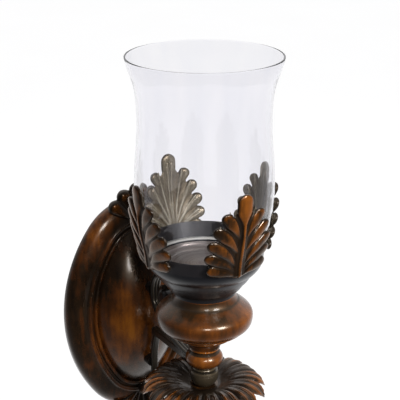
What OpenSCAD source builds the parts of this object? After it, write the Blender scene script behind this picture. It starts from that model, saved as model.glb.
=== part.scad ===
// Wall sconce with a hurricane glass, held up by a scrolled bracket on a domed oval wall plate.
// The wall is the plane y = 0, the sconce stands out towards -Y, and +Z is up.
// The origin is the middle of the wall plate's flat back.

/* [Wall plate] */
// Width of the oval plate
plate_w = 144; // [140:2:148]
// Height of the oval plate
plate_h = 212; // [208:2:216]
// Height of the outer bead's foot above the wall
band_h = 14; // [12:0.5:16]
// Height of the domed boss above the wall
boss_h = 40; // [36:0.5:42]
// Height of the entry holes of the two keyhole hangers above and below the middle
hanger_z = 72; // [70:1:73]

/* [Column] */
// Distance from the wall to the axis of the column
reach = 132; // [130:0.5:134]
// Height of the bowl's rim
rim_z = 106; // [106:0.5:107]
// Outer radius of the bowl at its rim
rim_r = 51; // [51:0.1:51.5]
// Largest radius of the turned bulb
bulb_r = 41.3; // [39:0.1:42]
// Radius of the knuckle ball at the end of the bracket
knuckle_r = 12.4; // [12:0.1:13]
// Radius over the drooping tips of the leaf collar
collar_r = 53; // [50:0.5:55]

/* [Glass] */
// Height of the glass's flared mouth
mouth_z = 263; // [258:0.5:268]
// Outer radius of the flared mouth
mouth_r = 63.5; // [62:0.5:65]
// Thickness of the glass
glass_t = 2.2; // [1.8:0.1:2.6]

/* [Leaves] */
// Number of leaves round the bowl
leaf_count = 4; // [4]
// Height of the leaves' tips
leaf_top_z = 166; // [160:1:170]
// Height of the leaves' feet
leaf_foot_z = 92; // [91:0.5:94]
// Half the width of a leaf across its lowest lobes
leaf_half_w = 28.5; // [26:0.5:29]
// Thickness of a leaf
leaf_t = 4; // [3:0.1:4.4]

/* [Bracket] */
// Side of the square cross bar
bar_side = 6.5; // [6:0.1:7]
// Height of the cross bar's middle
bar_z = -12; // [-13:0.5:-11]
// Width of the upper scroll's reeded strap
strap_w = 9; // [8:0.1:10]
// Thickness of both scrolls' straps
strap_t = 5; // [4.5:0.1:5.5]
// Radius of the upper scroll's outer turn, at the middle of the strap
volute_r = 24; // [23:0.5:24.5]
// Radius of the lower scroll, at the middle of the strap
lower_scroll_r = 40; // [39:0.5:41]

/* [Hidden] */

$fn = 96;
far = 400;              // longer than anything it cuts
bronze = "#3a2014";
rubbed = "#8a4a14";
iron = "#2b2320";
steel = "#b9bcc0";

// The oval is four arcs: two side arcs and two end arcs that meet them tangentially. They hand
// over along the slope of a 3-4-5 triangle, which keeps their centres on round numbers.
half_w = plate_w / 2;
half_h = plate_h / 2;
join = [0.8, 0.6];
arc_span = (half_h - half_w) / (join[0] + join[1] - 1);
side_arc_offset = arc_span * join[0];
end_arc_offset = arc_span * join[1];
side_arc_r = half_w + side_arc_offset;
end_arc_r = half_h - end_arc_offset;
join_angle = atan2(join[1], join[0]);

// Mouldings of the plate, as distances in from its edge
bead_in = 19.6;         // crest of the outer bead
bead_r = 2.2;
inner_bead_in = 26;     // crest of the inner bead
inner_bead_r = 1.8;
boss_in = 28;           // edge of the domed boss
boss_w = half_w - boss_in;
boss_half_h = half_h - boss_in;

// Bores and fasteners
rod_r = 3;              // M6 tie rod
rod_hole_r = 3.2;
bolt_r = 2.5;           // M5 arm bolts
bolt_hole_r = 2.7;
bolt_head_r = 4.4;
bolt_head_h = 3.2;
washer_r = 6;
washer_t = 1.2;
pocket_r = 7;
pocket_depth = 7;

// Keyhole hangers
hanger_w = 17;
hanger_below = 13;      // from the entry hole down to the hanger's lower edge
hanger_above = 21;      // from the entry hole up to its upper edge
hanger_t = 1.6;
keyhole_r = 4.5;
keyhole_slot_r = 2.2;
keyhole_rise = 10;
hanger_screw_r = 1.6;
hanger_screw_len = 9;
hanger_screw_dz = [-9.5, 17];
keyhole_cavity = 7;     // room for the wall screw's head behind the hanger

// Seams between the column's turned pieces
finial_top = -72;
socket_top = -34;
knuckle_z = -16;
knuckle_foot = -25.5;
ball_foot = -8.5;
bulb_foot = 10;
bowl_foot = 61.5;

// Inside of the bowl
well_z = 78.5;          // floor of the nut's well
well_r = 28;
dish_ledge_z = 86;
dish_ledge_r = 41;
seat_z = 92;
gasket_t = 1.5;
glass_foot_z = seat_z + gasket_t;

// Upper scroll: one arc rises from the bar, and three ever smaller ones make the volute
lead_r = 105;
lead_turn = 34;         // degrees that the lead-in arc turns before the volute starts
lead_y = -114;
lead_z = bar_z + bar_side / 2 + strap_t / 2 - 2;
volute_y = lead_y + (lead_r - volute_r) * sin(lead_turn);
volute_z = lead_z + lead_r - (lead_r - volute_r) * cos(lead_turn);
second_r = 16;
third_r = 9.5;
eye_r = third_r - strap_t / 2;
eye_half_w = 6;
second_z = volute_z + volute_r - second_r;
third_y = volute_y;
third_z = second_z - second_r + third_r;

// Lower scroll: flatter above the height where it bulges to the wall, round below it
lower_bulge_y = -38.6 - strap_t / 2;
lower_z = -46;
flat_r = 83.5;
flat_turn = 24;         // degrees above the bulge
round_turn = 166;       // degrees below it
lower_w = 6;

// Points on a round arc, and along a cubic curve
function arc(c, r, a0, a1, n = 8) =
    [for (i = [0:n]) c + r * [cos(a0 + (a1 - a0) * i / n), sin(a0 + (a1 - a0) * i / n)]];
function bend(a, b, c, d, n = 8) =
    [for (i = [0:n]) let (t = i / n, s = 1 - t)
        s * s * s * a + 3 * s * s * t * b + 3 * s * t * t * c + t * t * t * d];
function ellipse_arc(c, rx, ry, a0, a1, n = 8) =
    [for (i = [0:n]) let (a = a0 + (a1 - a0) * i / n) c + [rx * cos(a), ry * sin(a)]];

// Turned about the column's axis
module turned(outline) {
    translate([0, -reach, 0])
        rotate_extrude()
            polygon(outline);
}

// A cylinder along -Y, starting at y
module rod_y(r, y, len, z = 0) {
    translate([0, y, z])
        rotate([90, 0, 0])
            cylinder(r = r, h = len);
}

// ---------------------------------------------------------------- wall plate

// Section of the band and its two beads: x is the distance in from the edge, y the height.
// Its points sit on a 0.01 mm grid so that the arcs' sections match exactly.
band_section = [for (p = concat(
    [[0, 0]],
    ellipse_arc([17, 2], 17, band_h - 2, 180, 90, 9),
    arc([bead_in, band_h], bead_r, 170, 10, 7),
    [[bead_in + bead_r + 0.6, band_h - 1.6], [inner_bead_in - inner_bead_r - 0.6, band_h - 1.6]],
    arc([inner_bead_in, band_h - 0.6], inner_bead_r, 170, 10, 6),
    [[boss_in + 2, band_h - 0.8], [boss_in + 2, 0]]))
    [round(p[0] * 100), round(p[1] * 100)] / 100];

// One arc of the band: a full ring cut by the wedge from its centre to the two corners
module band_arc(centre, r, corner_a, corner_b) {
    rotate([90, 0, 0])
        intersection() {
            translate(centre)
                rotate_extrude()
                    polygon([for (p = band_section) [r - p[0], p[1]]]);
            translate([0, 0, -1])
                linear_extrude(2 * band_h)
                    polygon([centre, centre + far * corner_a, centre + far * corner_b]);
        }
}

module band() {
    for (s = [-1, 1]) {
        band_arc([-s * side_arc_offset, 0], side_arc_r, [s * join[0], join[1]],
                 [s * join[0], -join[1]]);
        band_arc([0, s * end_arc_offset], end_arc_r, [join[0], s * join[1]],
                 [-join[0], s * join[1]]);
    }
}

// The oval's outline, a distance in from the plate's edge
function oval(inset) = concat(
    arc([-side_arc_offset, 0], side_arc_r - inset, -join_angle, join_angle, 13),
    arc([0, end_arc_offset], end_arc_r - inset, join_angle + 5, 175 - join_angle, 12),
    arc([side_arc_offset, 0], side_arc_r - inset, 180 - join_angle, 180 + join_angle, 13),
    arc([0, -end_arc_offset], end_arc_r - inset, 185 + join_angle, 355 - join_angle, 12));

// The boss is a barrel-shaped surface cut off by the oval
module boss() {
    rise = boss_h - band_h + 1;
    cross_r = (boss_w * boss_w + rise * rise) / (2 * rise);
    long_r = (boss_half_h * boss_half_h + rise * rise) / (2 * rise);
    half_turn = asin((boss_half_h + 6) / long_r);
    crown = arc([cross_r - long_r, 0], long_r, -half_turn, half_turn, 16);
    intersection() {
        rotate([90, 0, 0])
            linear_extrude(boss_h + 1)
                polygon(oval(boss_in));
        translate([0, cross_r - boss_h, 0])
            rotate_extrude()
                polygon(concat(crown, [[0, crown[16][1]], [0, crown[0][1]]]));
    }
}

module plate_solid() {
    union() {
        band();
        boss();
    }
}

module wall_plate() {
    color(bronze)
        difference() {
            plate_solid();
            for (z = [volute_z, lower_z]) {
                rod_y(bolt_hole_r, 1, boss_h + 2, z);
                rod_y(pocket_r, 1, pocket_depth + 1, z);
            }
            for (s = [-1, 1])
                translate([0, 0, s * hanger_z]) {
                    translate([-hanger_w / 2 - 0.2, -hanger_t - 0.2, -hanger_below - 0.2])
                        cube([hanger_w + 0.4, far, hanger_below + hanger_above + 0.4]);
                    translate([-6, -hanger_t - keyhole_cavity, -6])
                        cube([12, far, 20]);
                    for (dz = hanger_screw_dz)
                        rod_y(hanger_screw_r, 0, hanger_screw_len + 1, dz);
                }
        }
}

// Fan of rounded lobes, drawn upwards from its root at the bead
palmette_root = half_h - bead_in - 2;
palmette_reach = 38;
palmette_lobe_r = 6.5;
palmette_fan = 50;      // degrees from the middle lobe to the outermost
palmette_lobes = 5;

module fan_outline() {
    half = (palmette_lobes - 1) / 2;
    for (i = [-half:half]) {
        turn = i * palmette_fan / half;
        len = palmette_reach - palmette_lobe_r - 3.5 * abs(i) / half;
        rotate(-turn)
            union() {
                polygon([[-2, 0], [2, 0], [palmette_lobe_r, len], [-palmette_lobe_r, len]]);
                translate([0, len])
                    circle(palmette_lobe_r);
            }
    }
    circle(5);
}

module palmette(side) {
    difference() {
        mirror([0, 0, side < 0 ? 1 : 0])
            translate([0, -2, palmette_root])
                rotate([90, 0, 0])
                    linear_extrude(band_h + 3)
                        fan_outline();
        plate_solid();
    }
}

module top_palmette() {
    color(rubbed)
        palmette(1);
}

module bottom_palmette() {
    color(rubbed)
        palmette(-1);
}

// ---------------------------------------------------------------- hangers

module keyhole_hanger(z) {
    color(steel)
        translate([0, 0, z])
            difference() {
                translate([-hanger_w / 2, -hanger_t - 0.1, -hanger_below])
                    cube([hanger_w, hanger_t, hanger_below + hanger_above]);
                rod_y(keyhole_r, 1, 5);
                rod_y(keyhole_slot_r, 1, 5, keyhole_rise);
                translate([-keyhole_slot_r, -5, 0])
                    cube([2 * keyhole_slot_r, 6, keyhole_rise]);
                for (dz = hanger_screw_dz)
                    rod_y(hanger_screw_r + 0.2, 1, 5, dz);
            }
}

module hanger_screws() {
    color(steel)
        for (s = [-1, 1], dz = hanger_screw_dz)
            rod_y(hanger_screw_r, -0.1, hanger_screw_len, s * hanger_z + dz);
}

// ---------------------------------------------------------------- bracket

// Height of the boss above the wall on its middle line
function boss_at(z) = let (rise = boss_h - band_h + 1,
                           r = (boss_half_h * boss_half_h + rise * rise) / (2 * rise))
    boss_h - r + sqrt(r * r - z * z);

volute_back = -(volute_y + volute_r + strap_t / 2);
lower_back = -(lower_bulge_y + strap_t / 2);

module standoff(z, back) {
    foot = boss_at(z) - 0.6;
    color(iron)
        difference() {
            rod_y(5.5, -foot, back - foot, z);
            boss();
            rod_y(bolt_hole_r, 1, far, z);
        }
}

module arm_bolts() {
    color(steel)
        for (b = [[volute_z, volute_back], [lower_z, lower_back]]) {
            seat = pocket_depth - washer_t;
            rod_y(bolt_r, -seat + 0.1, b[1] + strap_t - 1 - seat, b[0]);
            rod_y(bolt_head_r, -seat + bolt_head_h, bolt_head_h, b[0]);
        }
}

module arm_washers() {
    color(steel)
        for (z = [volute_z, lower_z])
            difference() {
                rod_y(washer_r, -pocket_depth + washer_t, washer_t, z);
                rod_y(bolt_hole_r, 1, far, z);
            }
}

// A strap bent edgewise along arcs in the y-z plane, each [centre, radius, from, to]
module strap(arcs, w) {
    half_t = strap_t / 2;
    last = len(arcs) - 1;
    outside = [for (a = arcs) each arc(a[0], a[1] + half_t, a[2], a[3], ceil((a[3] - a[2]) / 6))];
    inside = [for (i = [last:-1:0]) let (a = arcs[i])
        each arc(a[0], a[1] - half_t, a[3], a[2], ceil((a[3] - a[2]) / 6))];
    translate([-w / 2, 0, 0])
        rotate([90, 0, 90])
            linear_extrude(w)
                polygon(concat(outside, inside));
}

module upper_scroll() {
    color(iron)
        difference() {
            strap([[[lead_y, lead_z + lead_r], lead_r, -90, lead_turn - 90],
                   [[volute_y, volute_z], volute_r, lead_turn - 90, 90],
                   [[volute_y, second_z], second_r, 90, 270],
                   [[third_y, third_z], third_r, 270, 440]], strap_w);
            // cut flush with the top of the bar
            translate([-far / 2, -far, bar_z - bar_side / 2 - 10])
                cube([far, far, bar_side + 10]);
            rod_y(bolt_r, 1, volute_back + strap_t + 2, volute_z);
            translate([0, -reach, -far / 2])
                cylinder(r = 16.6, h = far);
        }
}

module scroll_eye() {
    color(iron)
        translate([0, third_y, third_z])
            rotate([0, 90, 0])
                rotate_extrude()
                    polygon(concat([[0, -eye_half_w]],
                                   arc([eye_r - 3, 3 - eye_half_w], 3, -90, 0, 4),
                                   arc([eye_r - 3, eye_half_w - 3], 3, 0, 90, 4),
                                   [[0, eye_half_w]]));
}

module lower_scroll() {
    color(iron)
        difference() {
            strap([[[lower_bulge_y - lower_scroll_r, lower_z], lower_scroll_r, -round_turn, 0],
                   [[lower_bulge_y - flat_r, lower_z], flat_r, 0, flat_turn]], lower_w);
            // cut flush with the underside of the bar
            translate([-far / 2, -far, bar_z - bar_side / 2])
                cube([far, 2 * far, far]);
            rod_y(bolt_r, 1, lower_back + strap_t + 2, lower_z);
            socket_body();
        }
}

module cross_bar() {
    bar_start = 43;
    color(iron)
        difference() {
            translate([-bar_side / 2, -reach, bar_z - bar_side / 2])
                cube([bar_side, reach - bar_start, bar_side]);
            translate([0, -reach, knuckle_z])
                sphere(r = knuckle_r);
            translate([-far / 2, -far, bar_z + bar_side / 2 - 0.01])
                cube([far, far, far]);
        }
}

module arm_knuckle() {
    a_top = asin((ball_foot - knuckle_z) / knuckle_r);
    a_foot = asin((knuckle_foot - knuckle_z) / knuckle_r);
    color(iron)
        turned(concat([[rod_hole_r, knuckle_foot]],
                      arc([0, knuckle_z], knuckle_r, a_foot, a_top, 14),
                      [[rod_hole_r, ball_foot]]));
}

// ---------------------------------------------------------------- column

module socket_body() {
    turned(concat([[rod_hole_r, finial_top], [9, finial_top]],
                  arc([9, finial_top + 3], 3, -90, 60, 5),
                  bend([9, finial_top + 6], [9, -62], [12, -60], [14.5, -58], 5),
                  bend([14.5, -58], [17, -54], [15, -48], [12, -44], 6),
                  bend([12, -44], [11, -40], [16, -39], [17, -38], 5),
                  [[17, -35.5], [15.5, socket_top], [rod_hole_r, socket_top]]));
}

module lower_socket() {
    color(bronze)
        socket_body();
}

module drop_finial() {
    tip = -112;
    color(bronze)
        difference() {
            turned(concat([[0, tip]],
                          arc([0, tip + 3], 3, -80, 40, 4),
                          bend([2.4, tip + 5.5], [4, tip + 9], [13, -100], [13, -91], 8),
                          bend([13, -91], [13, -85], [9, -81], [6.5, -79], 6),
                          arc([6.5, -76.5], 2.5, -90, 90, 5),
                          [[7.5, -74], [8.5, finial_top], [0, finial_top]]));
            translate([0, -reach, -88])
                cylinder(r = rod_hole_r, h = far);
        }
}

// Drooping canopy of petals: a thin turned shell, scalloped round its edge
petals = 16;
collar_crest = [33, -20.5];
collar_tip_z = -32;
collar_t = 3;

module leaf_collar() {
    color(rubbed)
        difference() {
            turned(concat([[rod_hole_r, knuckle_foot]],
                          bend([12, knuckle_foot], [20, -26], [24, -20.5], collar_crest, 7),
                          bend(collar_crest, [44, -20.5], [50, -25], [collar_r, collar_tip_z], 8),
                          bend([collar_r - 2.4, collar_tip_z + 0.4], [46.5, -27.6], [41, -23.8],
                               collar_crest - [0, collar_t], 8),
                          bend(collar_crest - [0, collar_t], [26, -23.6], [22, -29],
                               [17, -29.5], 6),
                          [[14, socket_top], [rod_hole_r, socket_top]]));
            for (i = [0:petals - 1])
                translate([0, -reach, -60])
                    rotate([0, 0, (i + 0.5) * 360 / petals])
                        translate([collar_r + 2.5, 0, 0])
                            cylinder(r = 6.5, h = 60, $fn = 48);
        }
}

module small_ball() {
    color(rubbed)
        turned(concat([[rod_hole_r, ball_foot]],
                      ellipse_arc([0, 0], 16.2, 10, -58, 52, 12),
                      arc([12.4, 8.6], 1.3, -60, 60, 4),
                      [[rod_hole_r, bulb_foot]]));
}

module bulb() {
    color(rubbed)
        turned(concat([[rod_hole_r, bulb_foot], [13.6, bulb_foot]],
                      bend([13.6, bulb_foot], [14.4, 16], [20, 19], [24.6, 21.6], 6),
                      arc([24.2, 22.6], 1.1, -60, 60, 3),
                      bend([25.4, 23.6], [28, 25.2], [31, 26.6], [33.2, 28], 4),
                      arc([33.2, 29], 1.2, -60, 60, 3),
                      bend([35, 30], [38.6, 32.6], [bulb_r, 36.4], [bulb_r, 40], 6),
                      bend([bulb_r, 40], [bulb_r, 46.5], [37.5, 48.5], [28.6, 55.4], 9),
                      bend([28.6, 55.4], [27.4, 57.6], [26.8, 59.4], [26.8, bowl_foot], 4),
                      [[rod_hole_r, bowl_foot]]));
}

// Gap between the glass and the bowl's flared mouth
glass_gap = 0.8;

function glass_outer() = concat(
    bend([44.5, glass_foot_z], [46.6, 99], [48, 103.5], [49.4, 108], 4),
    bend([49.4, 108], [52.6, 118], [57.4, 132], [57.4, 156], 10),
    bend([57.4, 156], [57.4, 178], [54.3, 190], [54.3, 212], 10),
    bend([54.3, 212], [54.3, 232], [56.4, 241], [59.6, 249], 9),
    bend([59.6, 249], [61.4, 253.6], [62.6, 257.4], [mouth_r, mouth_z - 1.1], 4));

function bowl_mouth() = bend([44.5 + glass_gap, seat_z], [46.9, 97], [48.6, 102.4],
                             [rim_r - 1.1, rim_z], 5);

module bowl() {
    color(bronze)
        difference() {
            turned(concat([[rod_hole_r, bowl_foot]],
                          bend([26.8, bowl_foot], [26.8, 64.6], [28.4, 66.4], [30.4, 68], 4),
                          bend([31.6, 68.2], [33.4, 70.6], [34.6, 73], [36, 75], 4),
                          bend([37.2, 75.2], [39.4, 78.4], [40.6, 80.8], [42, 82.8], 4),
                          bend([43.2, 83], [46.6, 86.4], [48.8, 89.6], [49.2, 94], 6),
                          [[50, 100.5], [rim_r - 0.2, rim_z - 0.6], [rim_r - 0.7, rim_z]],
                          [for (i = [5:-1:0]) bowl_mouth()[i]],
                          [[dish_ledge_r, seat_z], [dish_ledge_r, dish_ledge_z],
                           [well_r, dish_ledge_z], [well_r, well_z], [rod_hole_r, well_z]]));
            leaf_pins();
        }
}

// ---------------------------------------------------------------- clamping

module tie_rod() {
    color(steel)
        translate([0, -reach, -86])
            cylinder(r = rod_r, h = 86 + well_z + 6.6);
}

module bowl_washer() {
    color(steel)
        translate([0, -reach, well_z])
            difference() {
                cylinder(r = 9, h = washer_t);
                translate([0, 0, -1])
                    cylinder(r = rod_hole_r, h = 4);
            }
}

module bowl_nut() {
    color(steel)
        translate([0, -reach, well_z + washer_t])
            difference() {
                cylinder(r = 5.8, h = 4.8, $fn = 6);
                translate([0, 0, -1])
                    cylinder(r = rod_r + 0.05, h = 8);
            }
}

// ---------------------------------------------------------------- leaves

// A pin holds each leaf's foot to the bowl's wall
pin_z = leaf_foot_z + 5;
pin_r = 1;
pin_start = 48.2;       // distances from the column's axis
pin_end = 52.4;

module leaf_pin(turn) {
    translate([0, -reach, pin_z])
        rotate([90, 0, turn])
            translate([0, 0, pin_start])
                cylinder(r = pin_r, h = pin_end - pin_start);
}

// Inside of the leaves, which stand just clear of the bowl and the glass
leaf_inside = concat(
    bend([49.7, leaf_foot_z - 2], [50.4, 98], [50.9, 104], [52.6, 111], 4),
    bend([52.6, 111], [55.6, 122], [58.2, 136], [58.4, 156], 5),
    [[58.8, leaf_top_z + 2]]);

// One side of a leaf from foot to tip: each finger lobe's height and reach, as shares of the
// leaf's own height and half width
leaf_lobes = [[0.13, 0.88], [0.27, 1], [0.42, 0.96], [0.58, 0.82], [0.74, 0.6]];
leaf_lobe_r = 4.4;
leaf_tall = leaf_top_z - leaf_foot_z;

function lobe_end(i) = [leaf_lobes[i][1] * leaf_half_w - leaf_lobe_r, leaf_lobes[i][0] * leaf_tall];
function lobe_notch(i) = i == len(leaf_lobes) - 1
    ? [5, 0.86 * leaf_tall]
    : [0.6 * min(lobe_end(i)[0], lobe_end(i + 1)[0]), lobe_end(i)[1] + leaf_lobe_r + 1.2];
leaf_side = concat(
    [[5, 0], [7, 0.08 * leaf_tall]],
    [for (i = [0:len(leaf_lobes) - 1]) each concat(
        arc(lobe_end(i), leaf_lobe_r, -62, 118, 6),
        [lobe_notch(i)])],
    arc([0, leaf_tall - 6.5], 6.5, -20, 90, 6));

module leaf_outline() {
    n = len(leaf_side);
    translate([0, leaf_foot_z])
        polygon(concat(leaf_side, [for (i = [n - 2:-1:0]) [-leaf_side[i][0], leaf_side[i][1]]]));
}

module leaf(turn) {
    n = len(leaf_inside);
    color(rubbed)
        difference() {
            translate([0, -reach, 0])
                rotate([0, 0, turn])
                    intersection() {
                        rotate_extrude()
                            polygon(concat(leaf_inside,
                                           [for (i = [n - 1:-1:0]) leaf_inside[i] + [leaf_t, 0]]));
                        translate([0, -30, 0])
                            rotate([90, 0, 0])
                                linear_extrude(40)
                                    leaf_outline();
                    }
            leaf_pin(turn);
        }
}

module leaf_pins() {
    color(steel)
        for (i = [0:leaf_count - 1])
            leaf_pin(i * 360 / leaf_count);
}

// ---------------------------------------------------------------- glass and candle

module glass_gasket() {
    color("#d8d4c8")
        translate([0, -reach, seat_z])
            difference() {
                cylinder(r = 45, h = gasket_t);
                translate([0, 0, -1])
                    cylinder(r = dish_ledge_r + 0.6, h = 4);
            }
}

module candle_plate() {
    color("#6b5a48")
        turned([[0, dish_ledge_z], [40.4, dish_ledge_z], [40.6, dish_ledge_z + 5],
                [39.4, dish_ledge_z + 5], [38.6, dish_ledge_z + 1.6], [0, dish_ledge_z + 1.6]]);
}

module hurricane_glass() {
    outer = glass_outer();
    n = len(outer);
    color([0.85, 0.85, 0.9, 0.35])
        turned(concat([outer[0] - [glass_t, 0]],
                      outer,
                      arc([mouth_r - glass_t / 2, mouth_z - 1.1], glass_t / 2, 30, 150, 4),
                      [for (i = [n - 1:-1:1]) outer[i] - [glass_t, 0]]));
}

wall_plate();
top_palmette();
bottom_palmette();
keyhole_hanger(hanger_z);  // upper_keyhole_hanger
keyhole_hanger(-hanger_z);  // lower_keyhole_hanger
hanger_screws();
standoff(volute_z, volute_back);  // upper_standoff
standoff(lower_z, lower_back);  // lower_standoff
arm_bolts();
arm_washers();
upper_scroll();
scroll_eye();
lower_scroll();
cross_bar();
arm_knuckle();
lower_socket();
drop_finial();
leaf_collar();
small_ball();
bulb();
bowl();
tie_rod();
bowl_nut();
bowl_washer();
leaf(0);  // leaf_front
leaf(90);  // leaf_right
leaf(180);  // leaf_back
leaf(270);  // leaf_left
leaf_pins();
glass_gasket();
candle_plate();
hurricane_glass();
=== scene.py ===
"""Wall sconce with a hurricane glass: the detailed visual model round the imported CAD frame.

Shapes are worked out in millimetres in the frame's axes: the wall is y = 0, the sconce stands out
towards -Y and +Z is up. Everything turned has its axis on the column, REACH from the wall.
"""
import math

import bmesh
import bpy
import numpy as np
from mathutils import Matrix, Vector


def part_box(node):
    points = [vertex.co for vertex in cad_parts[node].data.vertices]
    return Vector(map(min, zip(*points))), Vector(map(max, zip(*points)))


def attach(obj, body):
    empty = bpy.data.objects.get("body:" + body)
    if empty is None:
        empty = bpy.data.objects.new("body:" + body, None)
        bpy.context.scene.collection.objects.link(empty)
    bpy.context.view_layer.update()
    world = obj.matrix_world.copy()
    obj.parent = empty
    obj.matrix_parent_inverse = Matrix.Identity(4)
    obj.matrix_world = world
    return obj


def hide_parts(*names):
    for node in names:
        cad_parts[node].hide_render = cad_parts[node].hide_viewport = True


MM = 0.001
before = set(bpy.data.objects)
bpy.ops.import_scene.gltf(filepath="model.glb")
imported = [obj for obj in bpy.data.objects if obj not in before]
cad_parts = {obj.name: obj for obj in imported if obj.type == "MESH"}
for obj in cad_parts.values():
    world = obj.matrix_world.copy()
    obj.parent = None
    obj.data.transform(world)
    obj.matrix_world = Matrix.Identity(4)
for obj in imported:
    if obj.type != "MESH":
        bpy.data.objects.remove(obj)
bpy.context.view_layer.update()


# ---------------------------------------------------------------- places, from the frame

def low(node):
    """The lowest corner of a CAD node, in millimetres."""
    return [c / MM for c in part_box(node)[0]]


def high(node):
    """The highest corner of a CAD node, in millimetres."""
    return [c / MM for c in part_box(node)[1]]


REACH = -(low("tie_rod")[1] + high("tie_rod")[1]) / 2
ROD_HOLE_R = 3.2
FINIAL_TIP = low("drop_finial")[2]
FINIAL_TOP = low("lower_socket")[2]
SOCKET_TOP = high("lower_socket")[2]
KNUCKLE_FOOT = low("arm_knuckle")[2]
BALL_FOOT = low("small_ball")[2]
BULB_FOOT = low("bulb")[2]
BOWL_FOOT = low("bowl")[2]
RIM_Z = high("bowl")[2]
SEAT_Z = low("glass_gasket")[2]
DISH_Z = low("candle_plate")[2]
GLASS_FOOT = low("hurricane_glass")[2]
MOUTH_Z = high("hurricane_glass")[2]
MOUTH_R = high("hurricane_glass")[0]
LEAF_TOP = high("leaf_front")[2]
HALF_W = high("wall_plate")[0]
HALF_H = high("wall_plate")[2]
BOSS_H = -low("wall_plate")[1]
BAR_TOP = high("cross_bar")[2]
BAR_SIDE = high("cross_bar")[0] * 2


# ---------------------------------------------------------------- curves

def arc(centre, r, start, end, n=10):
    """Points on a round arc, angles in degrees."""
    turn = np.radians(np.linspace(start, end, n + 1))
    return [(centre[0] + r * math.cos(a), centre[1] + r * math.sin(a)) for a in turn]


def ellipse_arc(centre, rx, ry, start, end, n=24):
    """Points on an arc of an upright ellipse, angles in degrees."""
    turn = np.radians(np.linspace(start, end, n + 1))
    return [(centre[0] + rx * math.cos(a), centre[1] + ry * math.sin(a)) for a in turn]


def bend(a, b, c, d, n=14):
    """Points on a cubic curve from a to d, pulled towards b and c."""
    t = np.linspace(0, 1, n + 1)[:, None]
    a, b, c, d = (np.array(p, float) for p in (a, b, c, d))
    s = 1 - t
    points = s ** 3 * a + 3 * s * s * t * b + 3 * s * t * t * c + t ** 3 * d
    return [tuple(p) for p in points]


def smoothstep(x):
    """Rises softly from 0 at 0 to 1 at 1, and stays level outside them."""
    x = np.clip(x, 0, 1)
    return x * x * (3 - 2 * x)


# ---------------------------------------------------------------- meshes

def make_object(name, points, faces, sharp=35, relief=None, inside=None):
    """A mesh piece from points in millimetres, smooth except where faces meet at over sharp
    degrees. relief is how far each point stands out of its surroundings, from 0 in a hollow to 1
    on a ridge. inside is 1 on a leaf's hidden face and 0 elsewhere."""
    mesh = bpy.data.meshes.new(name)
    corners = [tuple(float(c) * MM for c in p) for p in points]
    mesh.from_pydata(corners, [], [list(f) for f in faces])
    mesh.validate()
    work = bmesh.new()
    work.from_mesh(mesh)
    bmesh.ops.recalc_face_normals(work, faces=work.faces)
    work.to_mesh(mesh)
    work.free()
    mesh.polygons.foreach_set("use_smooth", [True] * len(mesh.polygons))
    mesh.set_sharp_from_angle(angle=math.radians(sharp))
    for label, given, usual in (("relief", relief, 0.5), ("inside", inside, 0.0)):
        values = np.full(len(mesh.vertices), usual) if given is None else np.array(given)
        mesh.attributes.new(label, "FLOAT", "POINT").data.foreach_set("value",
                                                                      values.astype(np.float32))
    obj = bpy.data.objects.new(name, mesh)
    bpy.context.scene.collection.objects.link(obj)
    return obj


def outline_relief(outline, reach=3.0, depth=0.4):
    """For each point of a closed outline, how far it stands out of the points within reach."""
    points = np.array(outline, float)
    before, after = np.roll(points, 1, 0), np.roll(points, -1, 0)
    along = after - before
    along /= np.maximum(np.linalg.norm(along, axis=1), 1e-9)[:, None]
    normal = np.stack([along[:, 1], -along[:, 0]], 1)
    found = []
    for k, p in enumerate(points):
        near = points[np.linalg.norm(points - p, axis=1) < reach]
        found.append(float((p - near.mean(0)) @ normal[k]))
    return np.clip(0.5 + np.array(found) / (2 * depth), 0, 1)


def lathe(name, outline, turns=144, sharp=35):
    """Turned about the column's axis. The outline goes counterclockwise as (radius, height), closed
    unless it starts and ends on the axis."""
    points, rings, relief = [], [], []
    for (r, z), stands in zip(outline, outline_relief(outline)):
        count = 1 if r < 1e-6 else turns
        rings.append(range(len(points), len(points) + count))
        for k in range(count):
            a = 2 * math.pi * k / turns
            points.append((r * math.sin(a), -REACH - r * math.cos(a), z))
            relief.append(stands)
    closed = len(rings[0]) > 1
    pairs = list(zip(rings, rings[1:])) + ([(rings[-1], rings[0])] if closed else [])
    faces = []
    for a, b in pairs:
        for k in range(turns):
            m = (k + 1) % turns
            corners = [a[k % len(a)], a[m % len(a)], b[m % len(b)], b[k % len(b)]]
            face = list(dict.fromkeys(corners))
            if len(face) > 2:
                faces.append(face)
    return make_object(name, points, faces, sharp, relief)


def sweep(name, path, section, sharp=35, relief=None):
    """A closed section swept along a closed or open path. path has (origin, side, up) for each
    station, and section has (along side, along up) for each point."""
    points, faces = [], []
    n = len(section)
    for origin, side, up in path:
        for s, u in section:
            points.append(np.array(origin) + s * np.array(side) + u * np.array(up))
    for k in range(len(path) - 1):
        for j in range(n):
            m = (j + 1) % n
            faces.append((k * n + j, k * n + m, (k + 1) * n + m, (k + 1) * n + j))
    faces.append(tuple(range(n)))
    faces.append(tuple(range((len(path) - 1) * n, len(path) * n)))
    return make_object(name, points, faces, sharp, relief)


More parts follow.
